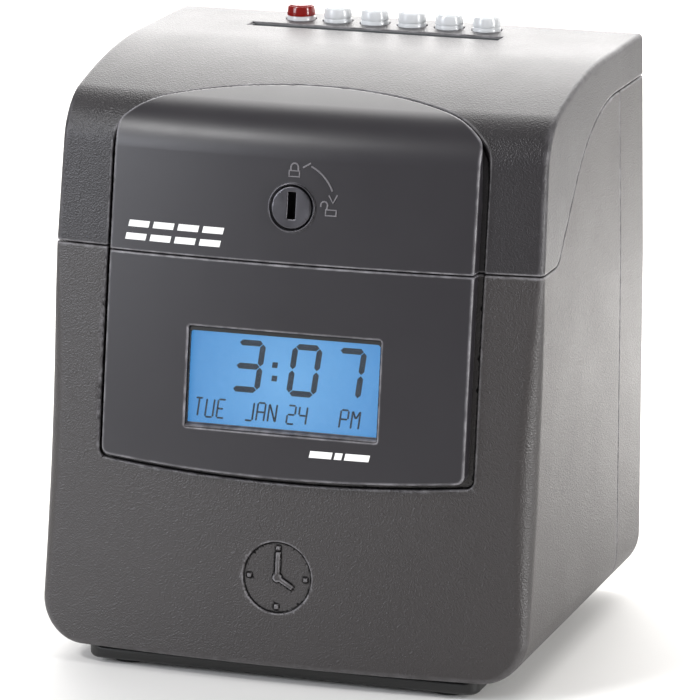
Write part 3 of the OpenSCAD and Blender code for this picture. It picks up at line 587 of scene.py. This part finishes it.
def front_housing(p):
    body = shell(p, lower_edge(p[2]))
    body = smax(body, over_seam(p) + SEAM_GAP / 2, 0.5)
    body = smax(body, p[1] - SHELL_JOINT_Y + SEAM_GAP / 2, 0.6)
    x0, x1 = CATCH_X
    ledge = block(p, (x0, front_at(CATCH_Z) + WALL - 1, CATCH_Z - 1), (x1, CATCH_Y, CATCH_Z + 1), 0.3)
    rib = block(p, (x0, CATCH_Y - 2, CATCH_Z), (x1, CATCH_Y, CATCH_TOP), 0.3)
    for x, y in SCREW_AT[:4]:
        body = np.minimum(body, rod(p, 2, (x, y, 0), BOSS_R, CASE_Z0 + 1, BOSS_TOP, 0.3))
    body = np.minimum(body, np.minimum(ledge, rib))
    for x, y in SCREW_AT[:4]:
        body = cut(body, rod(p, 2, (x, y, 0), SCREW_R, 0, BOSS_TOP + 1))
    body = cut(body, recess(p), 0.5)
    body = cut(body, display_space(p, *DISPLAY_POCKET, 0, 12), 0.3)
    return cut(body, mark(p), 0.2)


HINGE_Z, HINGE_R, HINGE_X = SEAM_BACK_Z + 0.25, 3.0, 72.0
KNUCKLE_HALF, KNUCKLE_GAP, KNUCKLE_LEN = 5.6, 0.4, 6.0
PIN_BORE_R, PIN_END = 1.55, HALF_W - 12
FAR = 1e3


def knuckles(p, spans):
    found = np.full(p.shape[1], FAR)
    for low, high in spans:
        found = np.minimum(found, rod(p, 0, (0, BACK_Y, HINGE_Z), HINGE_R, low, high, 0.4))
    return found


def notches(p, spans, z0, z1):
    found = np.full(p.shape[1], FAR)
    for low, high in spans:
        found = np.minimum(found, block(p, (low, BACK_Y - WALL - 1, z0), (high, BACK_Y + HINGE_R + 1, z1)))
    return found


CASE_SPANS = [(s * HINGE_X + a, s * HINGE_X + a + KNUCKLE_LEN) for s in (-1, 1) for a in (6.0, -12.0)]
COVER_SPANS = [(s * HINGE_X - KNUCKLE_HALF, s * HINGE_X + KNUCKLE_HALF) for s in (-1, 1)]
BRACKET_AT = [(x, z) for x in (-50, 50) for z in (80, 140)]
BRACKET_BOSS_R, BRACKET_HOLE_R = 4.5, 2.1
INLET, INLET_R = node_middle("power_inlet"), 4.2


def widened(spans):
    return [(a - KNUCKLE_GAP, b + KNUCKLE_GAP) for a, b in spans]


def rear_housing(p):
    body = smax(shell(p), over_seam(p) + SEAM_GAP / 2, 0.5)
    body = smax(body, SHELL_JOINT_Y + SEAM_GAP / 2 - p[1], 0.6)
    for x, z in BRACKET_AT:
        body = np.minimum(body, rod(p, 1, (x, 0, z), BRACKET_BOSS_R, BACK_Y - 8, BACK_Y - 1))
    for x, y in SCREW_AT[4:]:
        body = np.minimum(body, rod(p, 2, (x, y, 0), BOSS_R, CASE_Z0 + 1, BOSS_TOP, 0.3))
    body = cut(body, notches(p, widened(COVER_SPANS), HINGE_Z - HINGE_R - 0.4, SEAM_BACK_Z + 1))
    body = np.minimum(body, knuckles(p, CASE_SPANS))
    for x, z in BRACKET_AT:
        body = cut(body, rod(p, 1, (x, 0, z), BRACKET_HOLE_R, BACK_Y - 9, BACK_Y + 1), 0.4)
    for x, y in SCREW_AT[4:]:
        body = cut(body, rod(p, 2, (x, y, 0), SCREW_R, 0, BOSS_TOP + 1))
    body = cut(body, rod(p, 1, (INLET[0], 0, INLET[2]), INLET_R, BACK_Y - WALL - 1, BACK_Y + 1), 0.4)
    return cut(body, rod(p, 0, (0, BACK_Y, HINGE_Z), PIN_BORE_R, -PIN_END, PIN_END))


BUTTONS = [node_middle(f"button_{i}") for i in range(1, 7)]
BUTTON_R, POST_OFF = 5.9, 7.7
BUTTON_TOP = node_box("button_1")[1][2]
LINER, LINER_RIM = node_box("slot_liner"), 1.4
POST_AT = [((BUTTONS[i][0] + BUTTONS[i + 1][0]) / 2, BUTTONS[0][1] + d) for i in (0, 4)
           for d in (-POST_OFF, POST_OFF)]
BOARD_Z, POST_R, POST_HOLE_R = node_box("button_board")[1][2], 2.0, 1.05
LOCK_X, LOCK_Z, LOCK_BORE_R = 0.8, 186.8, 9.05
LOCK_PLACE = Matrix.Translation((LOCK_X, front_at(LOCK_Z) - FASCIA_PROUD, LOCK_Z)) @ Matrix.Rotation(
    math.pi / 2 - front_tilt(LOCK_Z), 4, "X")


def lock_bore(p):
    return rod(local(p, LOCK_PLACE), 2, (0, 0, 0), LOCK_BORE_R, -20.0, 5.0)


def top_cover(p):
    body = smax(shell(p), SEAM_GAP / 2 - over_seam(p), 0.5)
    for x, y in POST_AT:
        body = np.minimum(body, rod(p, 2, (x, y, 0), POST_R, BOARD_Z, CASE_H - 1, 0.2))
    body = cut(body, notches(p, widened(CASE_SPANS), SEAM_BACK_Z - 1, HINGE_Z + HINGE_R + 0.4))
    body = np.minimum(body, knuckles(p, COVER_SPANS))
    body = cut(body, recess(p), 0.5)
    body = cut(body, lock_bore(p))
    low, high = LINER[0] + LINER_RIM, LINER[1] - LINER_RIM
    slot = block(p, (low[0], low[1], CASE_H - 10), (high[0], high[1], CASE_H + 10))
    body = cut(body, slot, 0.4)
    for at in BUTTONS:
        body = cut(body, rod(p, 2, at, BUTTON_R + 0.4, CASE_H - WALL - 1, CASE_H + 5), 0.4)
    for x, y in POST_AT:
        body = cut(body, rod(p, 2, (x, y, 0), POST_HOLE_R, BOARD_Z - 1, BOARD_Z + 6))
    return cut(body, rod(p, 0, (0, BACK_Y, HINGE_Z), PIN_BORE_R, -PIN_END, PIN_END))


# ---------------------------------------------------------------- fascia and display

DISPLAY_Z = 119.4
DISPLAY_W, DISPLAY_H, DISPLAY_POCKET = 39.3, 19.7, (46, 27)
DISPLAY_TILT = front_tilt(DISPLAY_Z)
DISPLAY_PLACE = Matrix.Translation((0, front_at(DISPLAY_Z) - FASCIA_PROUD, DISPLAY_Z)) @ Matrix.Rotation(
    -DISPLAY_TILT, 4, "X")


def display_space(p, half_w, half_h, y0, y1, r=0.6):
    """A box in the display's frame: X right, Y into the case, Z up its slope."""
    u, v, w = local(p, DISPLAY_PLACE)
    outline = smax(np.abs(u) - half_w, np.abs(w) - half_h, r)
    return np.maximum(outline, np.abs(v - (y0 + y1) / 2) - (y1 - y0) / 2)


def tray(p):
    """The raised panel: a face, a rim and a hollow back."""
    face = smax(front_and_top(p, -FASCIA_PROUD), fascia_column(p, 0), 0.9)
    hollow = np.maximum(front_and_top(p, SKIN - FASCIA_PROUD, -SKIN), fascia_column(p, SKIN))
    return cut(face, np.minimum(hollow, case(p, POCKET)))


def display_fascia(p):
    body = smax(tray(p), p[2] - SEAM_FRONT_Z + SEAM_GAP / 2, 0.5)
    return cut(body, display_space(p, DISPLAY_W, DISPLAY_H, -3, 8, 0.8), 0.6)


def cover_fascia(p):
    body = smax(tray(p), SEAM_FRONT_Z + SEAM_GAP / 2 - p[2], 0.5)
    return cut(body, lock_bore(p), 0.3)


def place_piece(piece, body, slot, material, *replaced):
    piece.data.materials.clear()
    piece.data.materials.append(material)
    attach(piece, body)
    if replaced:
        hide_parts(*replaced)
    return piece


def build_shells():
    for name, field, body, slot, material, adaptivity in (
        ("front_housing", front_housing, "root", "case_plastic", CASE, 0.005),
        ("rear_housing", rear_housing, "root", "case_plastic", CASE, 0.02),
        ("top_cover", top_cover, "cover", "case_plastic", COVER, 0.005),
        ("display_fascia", display_fascia, "root", "panel_plastic", PANEL, 0.0),
        ("cover_fascia", cover_fascia, "cover", "panel_plastic", PANEL, 0.0),
    ):
        low, high = node_box(name)
        piece = moulded(name + "_shell", field, low, high, adaptivity=adaptivity)
        place_piece(piece, body, slot, material, name)


# ---------------------------------------------------------------- plinth

PLINTH = node_box("base_plate")
FOOT_SEAT, PLINTH_WALL, PLINTH_R = 5.0, 3.0, 5.0


def rounded_plan(p, low, high, inset, r):
    half = (high[:2] - low[:2]) / 2 - inset
    middle = (high[:2] + low[:2]) / 2
    return smax(np.abs(p[0] - middle[0]) - half[0], np.abs(p[1] - middle[1]) - half[1], r - inset)


def plinth(p):
    low, high = PLINTH
    outer = smax(rounded_plan(p, low, high, 0, PLINTH_R), low[2] - p[2], 2.2)
    hollow = smax(rounded_plan(p, low, high, PLINTH_WALL, PLINTH_R), p[2] - FOOT_SEAT, 0.4)
    body = cut(np.maximum(outer, p[2] - high[2]), hollow, 0.4)
    for x, y in SCREW_AT:
        body = cut(body, rod(p, 2, (x, y, 0), 1.7, 0, high[2] + 1))
    return body


def build_plinth():
    piece = moulded("base_plate_shell", plinth, *PLINTH, step=0.9)
    place_piece(piece, "root", "black_plastic", BLACK, "base_plate")
    low, high = node_box("rubber_feet")
    outline = rounded([(0, 0), (7.4, 0), (8, 4), (8, FOOT_SEAT), (0, FOOT_SEAT)], [0.9, 0.3, 0.3])
    bm = bmesh.new()
    for x in (low[0] + 8, high[0] - 8):
        for y in (low[1] + 8, high[1] - 8):
            turned(bm, outline, Matrix.Translation((x, y, 0)), 48)
    place_piece(mesh_piece("feet_turned", bm), "root", "rubber", RUBBER, "rubber_feet")


# ---------------------------------------------------------------- display

LCD_Y, SLANT = 5.9, 0.11
FRAME_W, FRAME_Y, FRAME_GAP = 0.6, (2.2, 3.7), 0.05
SILL_H, SILL_Y = 2.0, 0.3
DIGIT_W, DIGIT_H, STROKE = 12.2, 20.5, 2.3
DIGITS = {"3": "abcdg", "0": "abcdef", "7": "abc"}
LETTER_W, LETTER_H, THIN = 4.7, 7.2, 0.72
# Strokes of the small segment letters, on a cell one wide and one high
LETTERS = {
    "T": [(0, 1, 1, 1), (0.5, 1, 0.5, 0)],
    "U": [(0, 1, 0, 0), (0, 0, 1, 0), (1, 0, 1, 1)],
    "E": [(1, 1, 0, 1), (0, 1, 0, 0), (0, 0, 1, 0), (0, 0.5, 0.8, 0.5)],
    "J": [(1, 1, 1, 0), (1, 0, 0, 0)],
    "A": [(0, 0, 0, 1), (0, 1, 1, 1), (1, 1, 1, 0), (0, 0.5, 1, 0.5)],
    "N": [(0, 0, 0, 1), (0, 1, 1, 0), (1, 0, 1, 1)],
    "2": [(0, 1, 1, 1), (1, 1, 1, 0.5), (1, 0.5, 0, 0.5), (0, 0.5, 0, 0), (0, 0, 1, 0)],
    "4": [(0, 1, 0, 0.5), (0, 0.5, 1, 0.5), (1, 1, 1, 0)],
    "P": [(0, 0, 0, 1), (0, 1, 1, 1), (1, 1, 1, 0.5), (1, 0.5, 0, 0.5)],
    "M": [(0, 0, 0, 1), (0, 1, 0.5, 0.55), (0.5, 0.55, 1, 1), (1, 1, 1, 0)],
}
WORDS = [("TUE", -37.2), ("JAN", -16.2), ("24", 0.9), ("PM", 22.4)]
ROW_W, BIG_W = -15.8, -5.0


def bar(x0, y0, x1, y1, width, gap):
    """A stroke with pointed ends, as a closed outline."""
    start, end = Vector((x0, y0)), Vector((x1, y1))
    along = (end - start).normalized()
    side = Vector((-along.y, along.x)) * width / 2
    start, end, nose = start + along * gap, end - along * gap, along * width / 2
    return [start, start + nose + side, end - nose + side, end, end - nose - side, start + nose - side]


def digit(name):
    t = STROKE / 2
    x0, x1, y0, y1, ym = t, DIGIT_W - t, t, DIGIT_H - t, DIGIT_H / 2
    bars = {"a": (x0, y1, x1, y1), "b": (x1, y1, x1, ym), "c": (x1, ym, x1, y0), "d": (x0, y0, x1, y0),
            "e": (x0, y0, x0, ym), "f": (x0, ym, x0, y1), "g": (x0, ym, x1, ym)}
    return [bar(*bars[k], STROKE, 0.22) for k in DIGITS[name]]


def lcd_marks():
    shapes = []

    def put(outline, left, bottom):
        shapes.append([(left + q.x + SLANT * q.y, bottom + q.y) for q in outline])

    for name, left in (("3", -22.9), ("0", 0.2), ("7", 18.2)):
        for outline in digit(name):
            put(outline, left, BIG_W)
    for w in (5.4, 0.2):
        put([Vector(c) for c in ((0, 0), (2.2, 0), (2.2, 2.2), (0, 2.2))], -5.9, w)
    for word, left in WORDS:
        for i, letter in enumerate(word):
            for x0, y0, x1, y1 in LETTERS[letter]:
                scaled = (x0 * (LETTER_W - 1.6), y0 * LETTER_H, x1 * (LETTER_W - 1.6), y1 * LETTER_H)
                put(bar(*scaled, THIN, 0.1), left + i * LETTER_W, ROW_W)
    return shapes


def display_shade_frame(p):
    """Thin frame round the glass, with rounded corners, coloured black as painted shade for the opening's
    walls.
    """
    u, _, w = local(p, DISPLAY_PLACE)
    inner = smax(np.abs(u) - (DISPLAY_W - FRAME_W), np.abs(w + 0.6) - (DISPLAY_H - FRAME_W - 0.6), 1.2)
    return cut(display_space(p, DISPLAY_W - FRAME_GAP, DISPLAY_H - FRAME_GAP, *FRAME_Y), inner, 0.1)


def display_sill(p):
    """Sill that slopes from the foot of the glass out to the panel's face."""
    _, v, w = local(p, DISPLAY_PLACE)
    rise = SILL_H * np.clip((v - SILL_Y) / (FRAME_Y[1] - SILL_Y), 0.15, 1)
    wedge = display_space(p, DISPLAY_W - FRAME_GAP, DISPLAY_H - FRAME_GAP, SILL_Y, FRAME_Y[1])
    return np.maximum(wedge, w + DISPLAY_H - rise)


def build_display():
    bm = bmesh.new()
    for outline in lcd_marks():
        front = [bm.verts.new(DISPLAY_PLACE @ Vector((u, LCD_Y, w)) * MM) for u, w in outline]
        back = [bm.verts.new(DISPLAY_PLACE @ Vector((u, LCD_Y + 0.06, w)) * MM) for u, w in outline]
        bm.faces.new(front)
        bm.faces.new(back[::-1])
        for i in range(len(front)):
            j = (i + 1) % len(front)
            bm.faces.new([front[i], front[j], back[j], back[i]])
    place_piece(mesh_piece("lcd_segments", bm, smooth=False), "root", "lcd", SEGMENT)
    for name, field, slot, material in (
        # The frame is black as painted shade where the walls of the opening fall in shadow.
        ("display_shade_frame", display_shade_frame, "black_plastic", BLACK),
        ("display_sill", display_sill, "panel_plastic", PANEL),
    ):
        place_piece(moulded(name, field, *node_box("display_bezel"), step=0.4), "root", slot, material)


# ---------------------------------------------------------------- lock

KEYWAY = ((-1.6, -4.4, -11), (1.6, 6.0, 3))
PLUG_R, RING_R = 8.15, 9.5
PLUG_DEPTH, CAM_SCREW_R, CAM_SCREW_END = 19.8, 1.6, -13.5


def lock_plug(p):
    q = local(p, LOCK_PLACE)
    body = rod(q, 2, (0, 0, 0), PLUG_R, -PLUG_DEPTH, 0.6, 0.45)
    body = cut(body, block(q, *KEYWAY, 0.3), 0.3)
    return cut(body, rod(q, 2, (0, 0, 0), CAM_SCREW_R, -PLUG_DEPTH - 1.2, CAM_SCREW_END), 0.2)


def build_lock():
    plug = moulded("lock_plug_shell", lock_plug, *node_box("lock_plug"), step=0.32)
    place_piece(plug, "lock", "lock_metal", LOCK, "lock_plug")
    r0, r1, top = PLUG_R + 0.1, 9.0, 0.95
    corners = [(r0, -19), (r0, -0.35), (8.85, 0.1), (9.0, top), (RING_R, 0.75), (RING_R, 0.1),
               (r1, 0.1), (r1, -19), (r0, -19)]
    outline = rounded(corners, [0.1, 0.12, 0.2, 0.22, 0.04, 0.04, 0.3], 4)[:-1]
    ring = lathe("lock_ring_turned", [outline], LOCK_PLACE, 128)
    place_piece(ring, "cover", "lock_metal", LOCK, "lock_barrel")


# ---------------------------------------------------------------- buttons

COLLAR_UP = 1.45


def button_outlines(top):
    """The hollow cap, from the middle of its lid round the flange to the middle inside, and the stem."""
    z = top - 6
    cap = [(0, top), (3.9, top), (4.35, top - 0.04), (4.62, top - 0.18), (4.74, top - 0.42),
           (4.86, top - 0.52), (5.1, top - 0.62), (5.28, top - 0.9), (5.42, top - 1.5), (5.6, top - 2.5),
           (5.74, top - 3.4), (5.78, top - 4.0), (5.7, top - 4.4), (5.5, z + COLLAR_UP), (5.52, z + 1.2),
           (5.72, z + 0.9), (5.84, z + 0.5), (5.86, z - 3.3), (7.2, z - 3.3), (7.2, z - 4.6), (4.5, z - 4.6),
           (4.5, z + 3.0), (4.3, z + 3.9), (3.8, z + 4.5), (3.0, z + 4.7), (0, z + 4.75)]
    stem = [(0, z - 7.4), (2.0, z - 7.4), (2.2, z - 7.2), (2.2, z + 4.4), (0, z + 4.4)]
    return [cap, stem]


def build_buttons():
    for i, at in enumerate(BUTTONS, 1):
        place = Matrix.Translation((at[0], at[1], 0))
        piece = lathe(f"button_{i}_cap", button_outlines(BUTTON_TOP), place, 64)
        place_piece(piece, f"button_{i}", "red_cap" if i == 1 else "clear_cap", CLEAR, f"button_{i}")
        if i == 1:
            piece.data.materials.append(RED)
            for face in piece.data.polygons:
                face.material_index = int(face.center.z / MM > BUTTON_TOP - 6 + COLLAR_UP - 0.05)


# ---------------------------------------------------------------- marks on the panel

PADLOCK = [(-2.1, 0), (2.1, 0), (2.1, 2.2), (-2.1, 2.2)]


def arc_points(x, z, r, start, end, count=9):
    turns = [math.radians(start + (end - start) * i / (count - 1)) for i in range(count)]
    return [(x + r * math.cos(a), z + r * math.sin(a)) for a in turns]


def build_icons():
    """Raised padlocks, shut at twelve o'clock and open at three, and the arrow between them."""
    shut = [(x + 1.2, z + 198.6) for x, z in PADLOCK]
    shackle = [(-0.3, 200.8), *arc_points(1.2, 202.2, 1.5, 180, 0, 7), (2.7, 200.8)]
    opened = [(x + 16.7, z + 184.7) for x, z in PADLOCK]
    swung = [(14.9, 186.9), (15.2, 188.2), *arc_points(13.9, 188.6, 1.35, 0, 180, 7), (12.5, 187.9)]
    arrow = arc_points(LOCK_X, LOCK_Z, 17.6, 66, 24, 12)
    head = [(15.6, 192.4), (17.4, 189.5), (19.0, 192.7)]
    dash = [(4.6, 202.2), (7.6, 204.0)]
    strokes = [(shut, True), (shackle, False), (opened, True), (swung, False),
               (arrow, False), (head, False), (dash, False)]
    piece = moulded_line("lock_icons", strokes, FASCIA_PROUD, radius=0.34, lift=0.14)
    place_piece(piece, "cover", "panel_plastic", HIGHLIT_RAISED)


def leaning(x, z, width, height, lean=0.22):
    return [(x, z), (x + width, z), (x + width + lean * height, z + height), (x + lean * height, z + height)]


def build_prints():
    """Plain white stripes where such a machine carries its printed name."""
    bars = [leaning(-67.8 + 10.4 * i + 0.22 * z, 169.6 + z, 8.6, 2.5) for i in range(4) for z in (0, 5)]
    place_piece(printed("cover_stripes", bars, FASCIA_PROUD), "cover", "panel_plastic", INK)
    dashes = [leaning(x, 92.2, w, 2.6) for x, w in ((12.5, 9.0), (22.6, 3.0), (26.7, 9.8))]
    place_piece(printed("panel_stripes", dashes, FASCIA_PROUD, cell=0.9), "root", "panel_plastic", INK)


# ---------------------------------------------------------------- finishes of the CAD nodes

FINISH = {
    "case_plastic": CASE, "panel_plastic": PANEL, "black_plastic": BLACK, "rubber": RUBBER, "steel": STEEL,
    "lock_metal": LOCK, "window": WINDOW, "lcd": LCD, "diffuser": DIFFUSER, "board": BOARD, "ribbon": RIBBON,
    "white_plastic": WHITE, "brass": BRASS, "red_cap": LAMP, "clear_cap": CLEAR,
}
ROUND_STEEL = ("hinge_pins", "carriage_rod", "feed_shaft", "carriage_motor", "feed_motor", "lock_screw",
               "drive_pulley", "idler_pulley", "board_screws", "base_screws", "frame_screws", "coin_cell",
               "print_head")
FLUSH = ("display_window", "lcd_panel", "ink_ribbon", "carriage_belt")


def finish_cad():
    for part in frame["record"]["subparts"]:
        name = part["node"]
        node = frame["nodes"][name]
        if node.hide_render:
            continue
        node.data.materials.clear()
        node.data.materials.append(ROD if name in ROUND_STEEL else LINER_GREY if name == "slot_liner"
                                   else FINISH[part["material_slot"]])
        if name in FLUSH:
            continue
        weld = node.modifiers.new("weld", "WELD")
        weld.merge_threshold = 0.002 * MM
        bevel = node.modifiers.new("bevel", "BEVEL")
        bevel.width = 0.22 * MM
        bevel.segments = 2
        bevel.limit_method = "ANGLE"
        bevel.angle_limit = math.radians(40)
        bevel.harden_normals = True


build_shells()
build_plinth()
build_display()
build_lock()
build_buttons()
build_icons()
build_prints()
finish_cad()

# ---------------------------------------------------------------- light, floor, camera


def build_floor():
    bm = bmesh.new()
    bmesh.ops.create_circle(bm, cap_ends=True, segments=96, radius=14)
    floor = mesh_piece("floor", bm)
    n = Nodes("floor_paper", Roughness=0.8)
    tone = n.blend(n.noise(3, 4).outputs["Fac"], rgb("f1f0ee"), rgb("f7f6f4"))
    n.put(n.shader.inputs["Base Color"], tone)
    floor.data.materials.append(n.material)


# Soft lights: name, middle, what it faces, width, height, radiance, colour
LIGHTS = (
    ("back_wall", (-0.75, 2.2, 1.0), (-0.75, 0, 1.0), 2.2, 1.8, 5.0, (1, 0.985, 0.975)),
    ("top_box", (-0.1, 0.8, 1.4), (0, 0.2, 0.1), 1.7, 0.9, 4.6, (1, 0.99, 0.98)),
    ("rear_right", (0.85, 1.35, 0.55), (0, 0, 0.1), 1.0, 0.9, 1.8, (1, 0.99, 0.97)),
    ("left_box", (-1.25, -1.4, 0.75), (0, 0, 0.12), 0.7, 0.8, 11.0, (0.9, 0.93, 1)),
    ("bend_strip", (-0.9, -1.1, 1.5), (-0.08, -0.05, 0.22), 0.5, 0.1, 80.0, (1, 1, 1)),
    ("right_strip", (1.92, -0.42, 0.55), (0, 0, 0.15), 0.2, 1.1, 42.0, (1, 1, 1)),
    ("side_card", (0.19, 0.45, 0.03), (0, 0.45, 0.03), 0.5, 0.14, 4.0, (1, 0.98, 0.95)),
)


def area_light(name, at, look_at, width, height, radiance, colour):
    light = bpy.data.lights.new(name, "AREA")
    light.shape = "RECTANGLE"
    light.size, light.size_y = width, height
    light.energy = radiance * math.pi * width * height
    light.color = colour
    lamp = bpy.data.objects.new(name, light)
    lamp.location = at
    lamp.rotation_euler = (Vector(look_at) - Vector(at)).to_track_quat("-Z", "Y").to_euler()
    bpy.context.scene.collection.objects.link(lamp)


def build_light():
    world = bpy.data.worlds.new("studio")
    bpy.context.scene.world = world
    world.use_nodes = True
    tree = world.node_tree
    sky = tree.nodes["Background"]
    sky.inputs["Color"].default_value = (1, 0.99, 0.98, 1)
    sky.inputs["Strength"].default_value = 0.3
    for settings in LIGHTS:
        area_light(*settings)


def build_camera():
    """A long lens from the front right, a little above."""
    azimuth, elevation, distance = math.radians(18.6), math.radians(14.2), 2.08
    target = Vector((0, 0.0063, 0.113))
    level = math.cos(elevation)
    back = Vector((math.sin(azimuth) * level, -math.cos(azimuth) * level, math.sin(elevation)))
    data = bpy.data.cameras.new("camera")
    data.sensor_width = 36
    data.lens = 267.4
    camera = bpy.data.objects.new("camera", data)
    camera.location = target + back * distance
    camera.rotation_euler = (-back).to_track_quat("-Z", "Y").to_euler()
    bpy.context.scene.collection.objects.link(camera)
    bpy.context.scene.camera = camera


build_floor()
build_light()
build_camera()
bpy.context.scene.view_settings.view_transform = "Standard"
